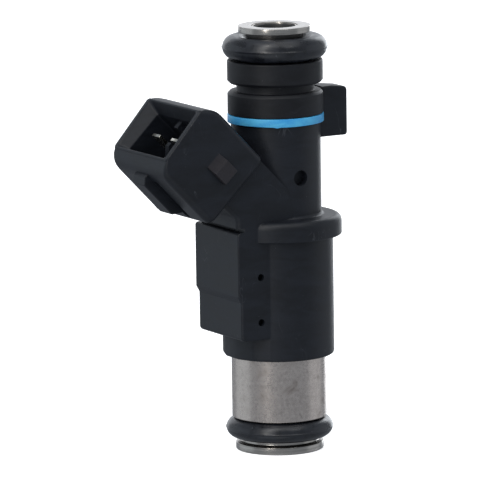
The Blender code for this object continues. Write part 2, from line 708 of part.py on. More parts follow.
def main():
    clear_scene()
    black_plastic = make_material("black_plastic", (0.020, 0.023, 0.028), 0.45, 0.0)
    collar_plastic = make_material("collar_plastic", (0.017, 0.019, 0.023), 0.50, 0.0)
    blue_plastic = make_material("blue_plastic", (0.045, 0.33, 0.68), 0.40, 0.0)
    bobbin_plastic = make_material("bobbin_plastic", (0.35, 0.30, 0.22), 0.50, 0.0)
    filter_plastic = make_material("filter_plastic", (0.03, 0.03, 0.03), 0.50, 0.0)
    rubber = make_material("rubber", (0.028, 0.031, 0.037), 0.38, 0.0)
    brushed_steel = make_material("brushed_steel", (0.45, 0.43, 0.41), 0.34, 1.0)
    polished_steel = make_material("polished_steel", (0.62, 0.61, 0.59), 0.20, 1.0)
    hardened_steel = make_material("hardened_steel", (0.50, 0.50, 0.50), 0.25, 1.0)
    soft_iron = make_material("soft_iron", (0.36, 0.36, 0.36), 0.40, 1.0)
    spring_steel = make_material("spring_steel", (0.40, 0.40, 0.42), 0.30, 1.0)
    copper_wire = make_material("copper_wire", (0.60, 0.24, 0.10), 0.35, 1.0)
    tinned_brass = make_material("tinned_brass", (0.70, 0.68, 0.62), 0.25, 1.0)

    terminals = [make_terminal(side, low, high) for side, low, high in blade_sides()]
    moving = [
        (make_valve_ball(), hardened_steel),
        (make_needle(), hardened_steel),
        (make_armature(), soft_iron),
    ]
    fixed = [
        (make_overmould_body(), black_plastic),
        (make_retaining_collar(), collar_plastic),
        (make_colour_ring(), blue_plastic),
        (seal_ring("upper_o_ring", UPPER_SEAL, OUTER_STEPS, RING_SECTION_STEPS), rubber),
        (seal_ring("lower_o_ring", LOWER_SEAL, OUTER_STEPS, RING_SECTION_STEPS), rubber),
        (seal_ring("upper_coil_seal", (4.40, 26.55, 0.38, 0.38), INNER_STEPS, 8), rubber),
        (seal_ring("lower_coil_seal", (4.75, 15.00, 0.33, 0.33), INNER_STEPS, 8), rubber),
        (make_inlet_tube(), polished_steel),
        (make_inlet_disc(), polished_steel),
        (make_filter_cup(), polished_steel),
        (make_filter_screen(), filter_plastic),
        (make_adjusting_tube(), spring_steel),
        (make_return_spring(), spring_steel),
        (make_nonmagnetic_ring(), polished_steel),
        (make_lower_sleeve(), brushed_steel),
        (make_end_ring(), polished_steel),
        (make_spray_plate(), polished_steel),
        (make_valve_seat(), hardened_steel),
        (make_needle_guide(), hardened_steel),
        (make_coil_housing(), soft_iron),
        (make_flux_washer(), soft_iron),
        (make_coil_bobbin(), bobbin_plastic),
        (make_coil_winding(), copper_wire),
    ]
    fixed += [(terminal, tinned_brass) for terminal in terminals]
    for piece, material in fixed + moving:
        finish(piece, material)
    parent_to("injector", (0.0, 0.0, 0.0), [piece for piece, material in fixed])
    parent_to("needle_slide", (0.0, 0.0, BALL_HEIGHT), [piece for piece, material in moving])


main()
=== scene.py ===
import math

import bmesh
import bpy
from mathutils import Matrix, Vector


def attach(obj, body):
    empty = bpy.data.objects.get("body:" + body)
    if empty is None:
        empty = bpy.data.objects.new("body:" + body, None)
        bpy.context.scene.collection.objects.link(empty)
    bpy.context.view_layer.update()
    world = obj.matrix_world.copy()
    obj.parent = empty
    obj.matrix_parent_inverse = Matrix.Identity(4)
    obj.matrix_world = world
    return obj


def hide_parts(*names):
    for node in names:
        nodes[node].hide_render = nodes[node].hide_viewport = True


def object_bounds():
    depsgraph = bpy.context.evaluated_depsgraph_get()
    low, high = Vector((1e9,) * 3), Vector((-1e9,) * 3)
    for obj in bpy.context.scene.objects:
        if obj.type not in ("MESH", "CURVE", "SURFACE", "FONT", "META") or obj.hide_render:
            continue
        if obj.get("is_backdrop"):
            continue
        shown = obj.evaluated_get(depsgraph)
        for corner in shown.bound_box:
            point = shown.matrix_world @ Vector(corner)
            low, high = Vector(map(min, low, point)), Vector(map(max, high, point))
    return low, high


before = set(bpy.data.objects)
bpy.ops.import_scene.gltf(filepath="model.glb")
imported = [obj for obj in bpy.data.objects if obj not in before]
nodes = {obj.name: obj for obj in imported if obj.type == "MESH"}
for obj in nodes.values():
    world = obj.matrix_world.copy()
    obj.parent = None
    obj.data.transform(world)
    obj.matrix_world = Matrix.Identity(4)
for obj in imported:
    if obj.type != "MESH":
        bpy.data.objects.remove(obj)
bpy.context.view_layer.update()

# Top-feed fuel injector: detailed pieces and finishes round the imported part.
# Lengths are in millimetres and become metres as each mesh is made.
mm = 0.001
print("frame loaded:", len(nodes), "nodes")


# Node building, shared by the shaders and the geometry trees

class Field:
    # a socket that can be written in sums
    def __init__(self, owner, socket):
        self.owner = owner
        self.socket = socket

    def maths(self, operation, first, second):
        return self.owner.node("ShaderNodeMath", {"operation": operation}, {0: first, 1: second})

    def __add__(self, other):
        return self.maths("ADD", self, other)

    def __radd__(self, other):
        return self.maths("ADD", other, self)

    def __sub__(self, other):
        return self.maths("SUBTRACT", self, other)

    def __rsub__(self, other):
        return self.maths("SUBTRACT", other, self)

    def __mul__(self, other):
        return self.maths("MULTIPLY", self, other)

    def __rmul__(self, other):
        return self.maths("MULTIPLY", other, self)

    def __truediv__(self, other):
        return self.maths("DIVIDE", self, other)

    def __rtruediv__(self, other):
        return self.maths("DIVIDE", other, self)


class Nodes:
    # adds nodes to a tree: settings first, then socket values or links
    def __init__(self, tree):
        self.tree = tree

    def node(self, kind, settings=None, sockets=None, output=0):
        made = self.tree.nodes.new(kind)
        for key, value in (settings or {}).items():
            setattr(made, key, value)
        for key, value in (sockets or {}).items():
            if isinstance(value, Field):
                self.tree.links.new(value.socket, made.inputs[key])
            else:
                made.inputs[key].default_value = value
        return Field(self, made.outputs[output])

    def single(self, operation, value):
        return self.node("ShaderNodeMath", {"operation": operation}, {0: value})

    def vector(self, parts):
        return self.node("ShaderNodeCombineXYZ", None, parts)

    def split(self, vector):
        # the three parts of a vector
        first = self.node("ShaderNodeSeparateXYZ", None, {0: vector})
        return [Field(self, socket) for socket in first.socket.node.outputs]


def shade(red, green, blue):
    # a display colour from 0 to 255 as linear light
    linear = []
    for part in (red, green, blue):
        part = part / 255
        linear.append(part / 12.92 if part < 0.04045 else ((part + 0.055) / 1.055) ** 2.4)
    return (*linear, 1.0)


class Look(Nodes):
    # one procedural material, with coordinates in millimetres
    def __init__(self, name, **fixed):
        self.material = bpy.data.materials.new(name)
        self.material.use_nodes = True
        super().__init__(self.material.node_tree)
        self.shader = self.tree.nodes["Principled BSDF"]
        for key, value in fixed.items():
            self.shader.inputs[key.replace("_", " ")].default_value = value
        self.spot = self.node("ShaderNodeTexCoord", None, None, "Object")

    def place(self, scale=(1, 1, 1), turn=(0, 0, 0), shift=(0, 0, 0)):
        size = [part / mm for part in scale]
        return self.node("ShaderNodeMapping", {"vector_type": "POINT"}, {
            "Vector": self.spot, "Scale": size, "Rotation": turn, "Location": shift})

    def roundAxis(self, around, along):
        # coordinates that stretch a pattern round the injector's axis
        x, y, z = self.split(self.place())
        radius = self.single("SQRT", x * x + y * y)
        across = self.vector({0: x / radius, 1: y / radius})
        flat = self.node("ShaderNodeVectorMath", {"operation": "SCALE"}, {0: across, "Scale": around})
        rise = self.vector({2: (z + radius) * along})
        return self.node("ShaderNodeVectorMath", {"operation": "ADD"}, {0: flat, 1: rise})

    def noise(self, where, size, detail=3.0, roughness=0.55, twist=0.0):
        return self.node("ShaderNodeTexNoise", {"noise_dimensions": "3D"}, {
            "Vector": where, "Scale": 1 / size, "Detail": detail, "Roughness": roughness,
            "Distortion": twist})

    def step(self, value, low, high):
        return self.node("ShaderNodeMapRange", {"interpolation_type": "SMOOTHSTEP", "clamp": True}, {
            0: value, 1: low, 2: high, 3: 0.0, 4: 1.0})

    def dots(self, shift, size, reach):
        # small round spots, one to a cell
        cell = self.node("ShaderNodeTexVoronoi", {"feature": "F1"}, {
            "Vector": self.place(shift=shift), "Scale": 1 / size})
        return 1 - self.step(cell, 0.03, reach)

    def patches(self, shift, size, low, high):
        # areas where something shows and others where it doesn't
        return self.step(self.noise(self.place(shift=shift), size), low, high)

    def blend(self, mask, first, second):
        return self.node("ShaderNodeMix", {"data_type": "RGBA"}, {0: mask, 6: first, 7: second}, 2)

    def relief(self, height, depth, strength):
        return self.node("ShaderNodeBump", None, {
            "Height": height, "Distance": depth * mm, "Strength": strength})

    def wear(self, size, spread):
        # thin curved scratches: where a stretched noise crosses its middle
        line = self.noise(self.place((1, 1, 0.35), (0.5, 0.3, 0.9)), size, 2.0, 0.5, 1.4)
        ridge = self.single("ABSOLUTE", line - 0.5)
        return (1 - self.step(ridge, 0.0, spread)) * self.patches((3, 7, 1), size * 1.7, 0.52, 0.66)

    def finish(self, colour, roughness, normal=None):
        for key, value in (("Base Color", colour), ("Roughness", roughness), ("Normal", normal)):
            if value is not None:
                self.tree.links.new(value.socket, self.shader.inputs[key])
        return self.material


plastic = {
    "flow": 2.6, "coarse": 0.9, "speck": 1.1, "speckPatch": 1.9, "scratch": 3.2, "scratchWidth": 0.006,
    # the latch nubs' tint and its reach: a painted highlight, lighter and brownish
    "dust": shade(96, 98, 104), "rampHighlight": shade(62, 55, 56), "rampHighlightRun": 0.12, "rampHighlightHeight": (35.0, 36.0),
    "depth": 0.010}


def plasticLook(name, dark, light, base=0.46, grain=0.16, spec=0.4, turned=False, rampHighlight=0):
    # moulded plastic: fine spark-finish grain, slow flow marks, dust specks and a painted highlight on the
    # latch nubs;
    # the optional distance from the middle is where the latch nubs are painted lighter and brownish, a
    # painted highlight where their ramps catch the light
    look = Look(name, IOR=1.5, Specular_IOR_Level=spec)
    flow = look.noise(look.place((0.5, 0.5, 1.4)), plastic["flow"], 4.0, 0.6, 0.8)
    fine = look.noise(look.place(), grain, 4.0, 0.65)
    coarse = look.noise(look.place(shift=(5, 2, 8)), plastic["coarse"], 3.0)
    speck = look.dots((1, 4, 2), plastic["speck"], 0.09)
    speck = speck * look.patches((9, 3, 3), plastic["speckPatch"], 0.5, 0.62)
    scratch = look.wear(plastic["scratch"], plastic["scratchWidth"])
    tone = look.step(flow * 0.7 + fine * 0.3, 0.32, 0.68)
    colour = look.blend(tone, dark, light)
    colour = look.blend(scratch * 0.35 + speck * 0.3, colour, plastic["dust"])
    # painted highlight: the latch nubs beyond the flanks and above the flange are painted lighter and
    # brownish
    if rampHighlight:
        _, y, z = look.split(look.place())
        outside = look.step(look.single("ABSOLUTE", y), rampHighlight, rampHighlight + plastic["rampHighlightRun"])
        ramp = outside * look.step(z, *plastic["rampHighlightHeight"])
        colour = look.blend(ramp * (0.15 + fine * 0.5), colour, plastic["rampHighlight"])
    rough = base + (fine - 0.5) * 0.16 + (flow - 0.5) * 0.12 - scratch * 0.08
    height = fine * 0.7 + coarse * 0.9 + speck * 0.8 - scratch * 0.9
    if turned:
        lines = look.noise(look.roundAxis(0.9, 9.0), 1.0, 3.0, 0.6)
        height = height + lines * 0.9
        rough = rough + (lines - 0.5) * 0.12
    return look.finish(colour, rough, look.relief(height, plastic["depth"], 0.55))


rubber = {
    "bloom": 1.6, "fine": 0.12, "lint": 0.85, "lintPatch": 1.3, "scratch": 2.4, "scratchWidth": 0.008,
    "dark": shade(20, 22, 27), "light": shade(34, 37, 44), "lintTint": shade(128, 132, 140),
    "base": 0.25, "depth": 0.012}


def rubberLook(name):
    # nitrile rubber: smooth, with a dull bloom in patches, lint and fine nicks
    look = Look(name, IOR=1.52, Specular_IOR_Level=0.5)
    bloom = look.noise(look.place(), rubber["bloom"], 4.0, 0.6, 0.6)
    fine = look.noise(look.place(shift=(2, 2, 5)), rubber["fine"], 3.0, 0.6)
    lint = look.dots((3, 1, 7), rubber["lint"], 0.10)
    lint = lint * look.patches((8, 6, 0), rubber["lintPatch"], 0.5, 0.6)
    scratch = look.wear(rubber["scratch"], rubber["scratchWidth"])
    tone = look.step(bloom, 0.3, 0.72)
    colour = look.blend(tone, rubber["dark"], rubber["light"])
    colour = look.blend(lint * 0.6 + scratch * 0.25, colour, rubber["lintTint"])
    rough = rubber["base"] + tone * 0.14 + (fine - 0.5) * 0.12 + lint * 0.2
    height = fine * 0.35 + bloom * 0.8 + lint * 0.7 - scratch
    return look.finish(colour, rough, look.relief(height, rubber["depth"], 0.5))


steel = {
    "cloud": 3.4, "fine": 0.35, "scratch": 2.8, "scratchWidth": 0.005, "pit": 0.8, "depth": 0.006,
    "tarnish": shade(118, 104, 94), "scratchTint": shade(84, 80, 76)}


def steelLook(name, dark, light, base, marks, stain, pits=0.25, streak=1.0):
    # turned or brushed metal: lines round the axis, tarnish in patches and stray scratches
    look = Look(name, Metallic=1.0)
    lines = look.noise(look.roundAxis(0.6, marks), 1.0, 4.0, 0.7)
    longLines = look.noise(look.roundAxis(0.25, marks * 0.35), 1.0, 3.0, 0.6)
    cloud = look.noise(look.place(shift=(4, 9, 2)), steel["cloud"], 5.0, 0.62, 0.7)
    fine = look.noise(look.place(), steel["fine"], 4.0, 0.7)
    scratch = look.wear(steel["scratch"], steel["scratchWidth"])
    pit = look.dots((6, 6, 6), steel["pit"], 0.11) * look.step(fine, 0.5, 0.62) * pits
    turning = lines * (0.45 * streak) + longLines * (0.25 * streak) + fine * (0.7 - 0.7 * streak)
    tone = look.step(turning + cloud * 0.3, 0.36, 0.64)
    colour = look.blend(tone, dark, light)
    tarnish = look.step(cloud * 0.75 + fine * 0.25, 0.50, 0.70)
    colour = look.blend(tarnish * stain, colour, steel["tarnish"])
    colour = look.blend(scratch * 0.5 + pit, colour, steel["scratchTint"])
    rough = base + (turning - 0.35) * 0.25 + tarnish * (0.10 * stain) + (cloud - 0.5) * 0.10
    height = turning * 1.6 - scratch * 0.8 - pit * 1.2
    return look.finish(colour, rough, look.relief(height, steel["depth"], 0.5))


wire = {"cloud": 0.7, "fine": 0.09, "depth": 0.002}


def wireLook(name, dark, light, base):
    # drawn wire: dull and bright stretches, fine die lines
    look = Look(name, Metallic=1.0)
    cloud = look.noise(look.place(), wire["cloud"], 4.0, 0.6)
    fine = look.noise(look.place((1, 1, 4)), wire["fine"], 3.0, 0.6)
    colour = look.blend(look.step(cloud, 0.35, 0.65), dark, light)
    rough = base + (cloud - 0.5) * 0.2 + (fine - 0.5) * 0.14
    return look.finish(colour, rough, look.relief(fine + cloud, wire["depth"], 0.5))


looks = {
    # the body's latch nubs get a painted highlight
    "black_plastic": plasticLook("mouldedNylon", shade(17, 20, 26), shade(27, 31, 39), rampHighlight=7.62),
    "collar_plastic": plasticLook("turnedNylon", shade(16, 17, 21), shade(27, 29, 34),
                                  base=0.5, grain=0.14, spec=0.35, turned=True),
    "blue_plastic": plasticLook("blueRing", shade(60, 165, 236), shade(100, 206, 252),
                                base=0.42, grain=0.12, turned=True),
    "bobbin_plastic": plasticLook("bobbinNylon", shade(150, 134, 104), shade(176, 160, 128),
                                  base=0.45, grain=0.15),
    "filter_plastic": plasticLook("filterNylon", shade(30, 30, 31), shade(52, 52, 54),
                                  base=0.5, grain=0.10),
    "rubber": rubberLook("sealRubber"),
    "brushed_steel": steelLook("brushedSleeve", shade(188, 178, 171), shade(222, 212, 204),
                               base=0.28, marks=7.0, stain=0.75, pits=0.25, streak=0.3),
    "polished_steel": steelLook("polishedSteel", shade(160, 156, 150), shade(198, 193, 187),
                                base=0.25, marks=5.0, stain=0.25, pits=0.12),
    # darker steel for the inlet tube: painted shade where it shows in the shadowed gap under the inlet disc
    "dullTube": steelLook("dullTube", shade(84, 82, 80), shade(112, 110, 108),
                          base=0.42, marks=5.0, stain=0.3),
    "hardened_steel": steelLook("groundSteel", shade(168, 168, 170), shade(204, 204, 206),
                                base=0.22, marks=9.0, stain=0.10, pits=0.15),
    "soft_iron": steelLook("softIron", shade(120, 118, 118), shade(164, 162, 160),
                           base=0.38, marks=5.0, stain=0.35),
    "spring_steel": wireLook("springWire", shade(128, 130, 136), shade(188, 190, 196), 0.28),
    "copper_wire": wireLook("enamelledCopper", shade(150, 74, 34), shade(206, 120, 66), 0.30),
    "tinned_brass": wireLook("tinnedBlade", shade(196, 192, 178), shade(232, 230, 220), 0.24),
}
print("finishes made:", len(looks))


# Mesh building

def roundCorners(corners, steps=5):
    # a closed outline of (u, v, radius) with each corner turned into an arc
    points = []
    for index, (u, v, radius) in enumerate(corners):
        here = Vector((u, v))
        if radius == 0:
            points.append((u, v))
            continue
        toBefore = (Vector(corners[index - 1][:2]) - here).normalized()
        toAfter = (Vector(corners[(index + 1) % len(corners)][:2]) - here).normalized()
        half = toBefore.angle(toAfter) / 2
        centre = here + (toBefore + toAfter).normalized() * radius / math.sin(half)
        reach = radius / math.tan(half)
        first = here + toBefore * reach - centre
        last = here + toAfter * reach - centre
        start = math.atan2(first.y, first.x)
        sweep = math.atan2(first.cross(last), first.dot(last))
        for part in range(steps + 1):
            angle = start + sweep * part / steps
            points.append((centre.x + radius * math.cos(angle), centre.y + radius * math.sin(angle)))
    return points


def quarterRound(radius, steps):
    # how far a rounded edge has still to come out, and how far along it is, from its start
    angles = [math.pi / 2 * index / steps for index in range(steps + 1)]
    return [(radius * (1 - math.sin(angle)), radius * (1 - math.cos(angle))) for angle in angles]


def inset(outline, distance):
    # moves a closed outline inwards by a distance
    area = sum(a[0] * b[1] - b[0] * a[1] for a, b in zip(outline, outline[1:] + outline[:1]))
    side = 1 if area > 0 else -1
    sharpest = 0.3  # keeps a narrow corner from running away
    moved = []
    for index, (u, v) in enumerate(outline):
        before = (Vector((u, v)) - Vector(outline[index - 1])).normalized()
        after = (Vector(outline[(index + 1) % len(outline)]) - Vector((u, v))).normalized()
        normal = Vector((-(before + after).y, (before + after).x)).normalized() * side
        grow = max(sharpest, normal.dot(Vector((-after.y, after.x)) * side))
        moved.append((u + normal.x * distance / grow, v + normal.y * distance / grow))
    return moved


def skin(rings, wrap=False):
    # joins closed rings of points into one shell, capped at the ends or wrapped round
    shape = bmesh.new()
    grid = [[shape.verts.new(Vector(point) * mm) for point in ring] for ring in rings]
    pairs = list(zip(grid, grid[1:])) + ([(grid[-1], grid[0])] if wrap else [])
    for lower, upper in pairs:
        for index in range(len(lower)):
            after = (index + 1) % len(lower)
            shape.faces.new((lower[index], lower[after], upper[after], upper[index]))
    if not wrap:
        shape.faces.new(grid[0])
        shape.faces.new(grid[-1])
    return shape


def makePiece(name, shape):
    tiny = 0.0002 * mm
    bmesh.ops.remove_doubles(shape, verts=shape.verts, dist=tiny)
    bmesh.ops.dissolve_degenerate(shape, edges=shape.edges, dist=tiny)
    bmesh.ops.recalc_face_normals(shape, faces=shape.faces)
    mesh = bpy.data.meshes.new(name)
    shape.to_mesh(mesh)
    shape.free()
    piece = bpy.data.objects.new(name, mesh)
    bpy.context.scene.collection.objects.link(piece)
    return piece


def turn(name, corners, steps=128, roundness=5):
    # spins an outline of (radius, height, corner radius) round the axis
    outline = roundCorners(corners, roundness)
    rings = []
    for index in range(steps):
        angle = 2 * math.pi * index / steps
        rings.append([(r * math.cos(angle), r * math.sin(angle), z) for r, z in outline])
    return makePiece(name, skin(rings, True))


def named(size, corners):
    # an outline whose corners are given by the names of a piece's sizes, or by numbers
    return [tuple(size.get(value, value) for value in corner) for corner in corners]


def hoop(size, foot, lowEdge, highEdge, mouth):
    # the outline of a plain ring, with its corners' radii from the bore's foot outwards and up
    return named(size, [("bore", "low", foot), ("out", "low", lowEdge), ("out", "high", highEdge),
                        ("bore", "high", mouth)])


def upright(u, v, y):
    return (u, y, v)


def slab(name, outline, low, high, edge, place=upright, steps=4):
    # a side outline given a width, with its two rims rounded
    rim = quarterRound(edge, steps)
    rings = [[place(u, v, low + along) for u, v in inset(outline, back)] for back, along in rim]
    rings += [[place(u, v, high - along) for u, v in inset(outline, back)] for back, along in reversed(rim)]
    return makePiece(name, skin(rings))


def settle(piece, modifier):
    # keeps what a modifier makes as the piece's own mesh
    bpy.context.view_layer.update()
    evaluated = piece.evaluated_get(bpy.context.evaluated_depsgraph_get())
    result = bpy.data.meshes.new_from_object(evaluated)
    piece.modifiers.remove(modifier)
    result.name = piece.name
    piece.data = result


def combine(piece, tool, operation):
    modifier = piece.modifiers.new("shape", "BOOLEAN")
    modifier.operation = operation
    modifier.solver = "EXACT"
    modifier.object = tool
    settle(piece, modifier)
    bpy.data.objects.remove(tool)


def evenShading(piece, angle):
    # smooth shading that stays flat on the large faces
    piece.data.shade_smooth()
    piece.data.set_sharp_from_angle(angle=math.radians(angle))
    weigh = piece.modifiers.new("evenShading", "WEIGHTED_NORMAL")
    weigh.keep_sharp = True
    weigh.weight = 100
    settle(piece, weigh)


def dress(piece, slotName, replaced, angle=32):
    # gives a finished piece its material and its body, and hides the nodes that it stands for
    piece.data.materials.clear()
    piece.data.materials.append(looks[slotName])
    evenShading(piece, angle)
    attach(piece, "injector")
    if replaced:
        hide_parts(*replaced)
    print("piece", piece.name, len(piece.data.polygons), "faces")


# Geometry node trees

class Tree(Nodes):
    # a geometry tree with named inputs, whose first output is the mesh
    def __init__(self, name, numbers, counts):
        group = bpy.data.node_groups.new(name, "GeometryNodeTree")
        super().__init__(group)
        panel = group.interface
        panel.new_socket("Geometry", in_out="OUTPUT", socket_type="NodeSocketGeometry")
        self.names = {}
        for label in [*numbers, *counts, "Material"]:
            kind = label if label == "Material" else "Int" if label in counts else "Float"
            socket = panel.new_socket(label, in_out="INPUT", socket_type="NodeSocket" + kind)
            self.names[label] = socket.identifier
        self.start = group.nodes.new("NodeGroupInput")
        self.stop = group.nodes.new("NodeGroupOutput")

    def given(self, label):
        return Field(self, self.start.outputs[label])

    def circle(self, steps, radius):
        return self.node("GeometryNodeCurvePrimitiveCircle", None, {"Resolution": steps, "Radius": radius})

    def sweep(self, curve, section, caps=True):
        return self.node("GeometryNodeCurveToMesh", None, {
            "Curve": curve, "Profile Curve": section, "Fill Caps": caps})

    def join(self, *parts):
        joined = self.node("GeometryNodeJoinGeometry")
        for part in parts:
            self.tree.links.new(part.socket, joined.socket.node.inputs[0])
        return joined

    def close(self, geometry):
        real = self.node("GeometryNodeRealizeInstances", None, {0: geometry})
        done = self.node("GeometryNodeSetMaterial", None, {0: real, "Material": self.given("Material")})
        self.tree.links.new(done.socket, self.stop.inputs[0])

    def build(self, name, values):
        # runs the tree on an empty mesh and keeps the result as a plain mesh
        piece = bpy.data.objects.new(name, bpy.data.meshes.new(name))
        bpy.context.scene.collection.objects.link(piece)
        modifier = piece.modifiers.new("tree", "NODES")
        modifier.node_group = self.tree
        for label, value in values.items():
            modifier[self.names[label]] = value
        bpy.context.view_layer.update()
        evaluated = piece.evaluated_get(bpy.context.evaluated_depsgraph_get())
        shape = bmesh.new()
        shape.from_mesh(bpy.data.meshes.new_from_object(evaluated))
        bpy.data.objects.remove(piece)
        return makePiece(name, shape)


def sealTree():
    # an oval rubber ring with the thin flash line its mould leaves inside and outside
    tree = Tree("sealRing", ["Ring Radius", "Half Width", "Half Height", "Level", "Flash"],
                ["Steps Round", "Steps Section"])
    sheet = tree.node("GeometryNodeMeshGrid", None, {
        "Size X": 1.0, "Size Y": 1.0, "Vertices X": tree.given("Steps Round"),
        "Vertices Y": tree.given("Steps Section")})
    across, down, _ = tree.split(tree.node("GeometryNodeInputPosition"))
    around = across * (2 * math.pi)
    section = down * (2 * math.pi)
    rise = tree.single("SINE", section)
    out = tree.single("COSINE", section)
    near = tree.node("ShaderNodeMapRange", {"interpolation_type": "SMOOTHSTEP"}, {
        0: tree.single("ABSOLUTE", rise), 1: 0.0, 2: 0.11, 3: 1.0, 4: 0.0})
    flash = near * tree.given("Flash") * tree.single("SIGN", out)
    radius = tree.given("Ring Radius") + out * tree.given("Half Width") + flash
    height = tree.given("Level") + rise * tree.given("Half Height")
    place = tree.vector({
        0: radius * tree.single("COSINE", around), 1: radius * tree.single("SINE", around), 2: height})
    bent = tree.node("GeometryNodeSetPosition", None, {"Geometry": sheet, "Position": place})
    tree.close(tree.node("GeometryNodeMergeByDistance", None, {"Geometry": bent, "Distance": 0.0001 * mm}))
    return tree


def coilTree():
    # round wire wound in an even helix, with closed ends
    tree = Tree("woundWire", ["Coil Radius", "Wire Radius", "Height", "Level", "Turns"],
                ["Steps Turn", "Steps Wire"])
    helix = tree.node("GeometryNodeCurveSpiral", None, {
        "Resolution": tree.given("Steps Turn"), "Rotations": tree.given("Turns"),
        "Start Radius": tree.given("Coil Radius"), "End Radius": tree.given("Coil Radius"),
        "Height": tree.given("Height")})
    swept = tree.sweep(helix, tree.circle(tree.given("Steps Wire"), tree.given("Wire Radius")))
    lift = tree.vector({2: tree.given("Level")})
    tree.close(tree.node("GeometryNodeTransform", None, {"Geometry": swept, "Translation": lift}))
    return tree


def basketTree():
    # a fine round sieve: upright wires and hoops
    tree = Tree("sieveWires", ["Radius", "Wire", "Height", "Level"], ["Uprights", "Hoops"])
    section = tree.circle(5, tree.given("Wire"))
    top = tree.vector({2: tree.given("Height")})
    line = tree.node("GeometryNodeCurvePrimitiveLine", None, {"End": top})
    rod = tree.sweep(line, section)
    circle = tree.node("GeometryNodeMeshCircle", None, {
        "Vertices": tree.given("Uprights"), "Radius": tree.given("Radius")})
    rods = tree.node("GeometryNodeInstanceOnPoints", None, {"Points": circle, "Instance": rod})
    hoopWire = tree.sweep(tree.circle(40, tree.given("Radius")), section, False)
    gap = tree.vector({2: tree.given("Height") / tree.given("Hoops")})
    stack = tree.node("GeometryNodeMeshLine", None, {"Count": tree.given("Hoops"), "Offset": gap})
    hoops = tree.node("GeometryNodeInstanceOnPoints", None, {"Points": stack, "Instance": hoopWire})
    lift = tree.vector({2: tree.given("Level")})
    tree.close(tree.node("GeometryNodeTransform", None, {
        "Geometry": tree.join(rods, hoops), "Translation": lift}))
    return tree


# Rubber seals

seals = {  # node, ring radius, level, half width, half height, flash line
    "upperSeal": ("upper_o_ring", 5.61, 55.85, 1.64, 1.64, 0.11),
    "lowerSeal": ("lower_o_ring", 5.77, 2.60, 1.64, 1.42, 0.10),
    "upperCoilSeal": ("upper_coil_seal", 4.40, 26.55, 0.37, 0.37, 0.0),
    "lowerCoilSeal": ("lower_coil_seal", 4.75, 15.00, 0.32, 0.32, 0.0)}
rings = sealTree()
for name, (node, radius, level, wide, high, flash) in seals.items():
    stepsRound, stepsSection = (145, 73) if flash > 0 else (49, 13)
    made = rings.build(name, {
        "Ring Radius": radius * mm, "Half Width": wide * mm, "Half Height": high * mm,
        "Level": level * mm, "Flash": flash * mm, "Steps Round": stepsRound,
        "Steps Section": stepsSection, "Material": looks["rubber"]})
    dress(made, "rubber", [node], angle=60)


# Spring, winding and sieve

wires = coilTree()


def windWire(name, coil, slotName, node):
    made = wires.build(name, {
        "Coil Radius": coil["radius"] * mm, "Wire Radius": coil["wire"] * mm, "Level": coil["low"] * mm,
        "Height": (coil["high"] - coil["low"]) * mm, "Turns": coil["turns"],
        "Steps Turn": coil["stepsTurn"], "Steps Wire": coil["stepsWire"], "Material": looks[slotName]})
    dress(made, slotName, [node], angle=60)


spring = {"radius": 1.30, "wire": 0.21, "low": 18.60, "high": 30.90, "turns": 8, "stepsTurn": 32,
          "stepsWire": 12}
windWire("returnSpring", spring, "spring_steel", "return_spring")

winding = {"radius": 6.14, "wire": 0.145, "low": 16.46, "high": 24.94, "turns": 29, "stepsTurn": 40,
           "stepsWire": 6}
windWire("coilWinding", winding, "copper_wire", "coil_winding")
windingCore = {"bore": 5.10, "out": winding["radius"] - 0.05, "low": 16.32, "high": 25.08}
dress(turn("windingCore", hoop(windingCore, 0, 0.1, 0.1, 0), 64, 3), "copper_wire", [])

sieve = {"radius": 2.02, "wire": 0.045, "low": 49.0, "high": 57.2, "uprights": 36, "hoops": 34}
made = basketTree().build("filterSieve", {
    "Radius": sieve["radius"] * mm, "Wire": sieve["wire"] * mm, "Level": sieve["low"] * mm,
    "Height": (sieve["high"] - sieve["low"]) * mm, "Uprights": sieve["uprights"],
    "Hoops": sieve["hoops"], "Material": looks["filter_plastic"]})
dress(made, "filter_plastic", ["filter_screen"], angle=60)

sieveCap = {"bore": 0, "out": 2.12, "low": 48.5, "high": 49.1}
dress(turn("sieveCap", hoop(sieveCap, 0, 0.2, 0.1, 0), 64, 3), "filter_plastic", [])
sieveRim = {"bore": 1.92, "out": 2.32, "low": 56.9, "high": 57.6}
dress(turn("sieveRim", hoop(sieveRim, 0.1, 0.1, 0.12, 0.12), 64, 3), "filter_plastic", [])
sieveMouth = {"throat": 2.50, "out": 2.90, "mouth": 2.66, "low": 57.98, "high": 58.56, "edge": 0.08}
dress(turn("sieveMouth", named(sieveMouth, [
    ("throat", "low", 0.05), ("out", "low", 0), ("out", "high", "edge"), ("mouth", "high", "edge")]),
    96, 3), "filter_plastic", [])


# Fuel inlet

inletDisc = {"bore": 3.20, "out": 5.05, "low": 57.95, "high": 58.82}
dress(turn("inletDisc", hoop(inletDisc, 0, 0.09, 0.09, 0.05)), "polished_steel", ["inlet_disc"])

cup = {"out": 3.11, "low": 54.50, "high": 58.76, "rim": 2.93, "seat": 57.90, "coneFoot": 57.60, "bore": 2.40,
       "edge": 0.07}
dress(turn("filterCup", named(cup, [
    ("out", "low", 0.1), ("out", "high", "edge"), ("rim", "high", "edge"), ("rim", "seat", 0),
    ("bore", "coneFoot", 0.1), ("bore", "low", 0)])), "polished_steel", ["filter_cup"])


# Nozzle end

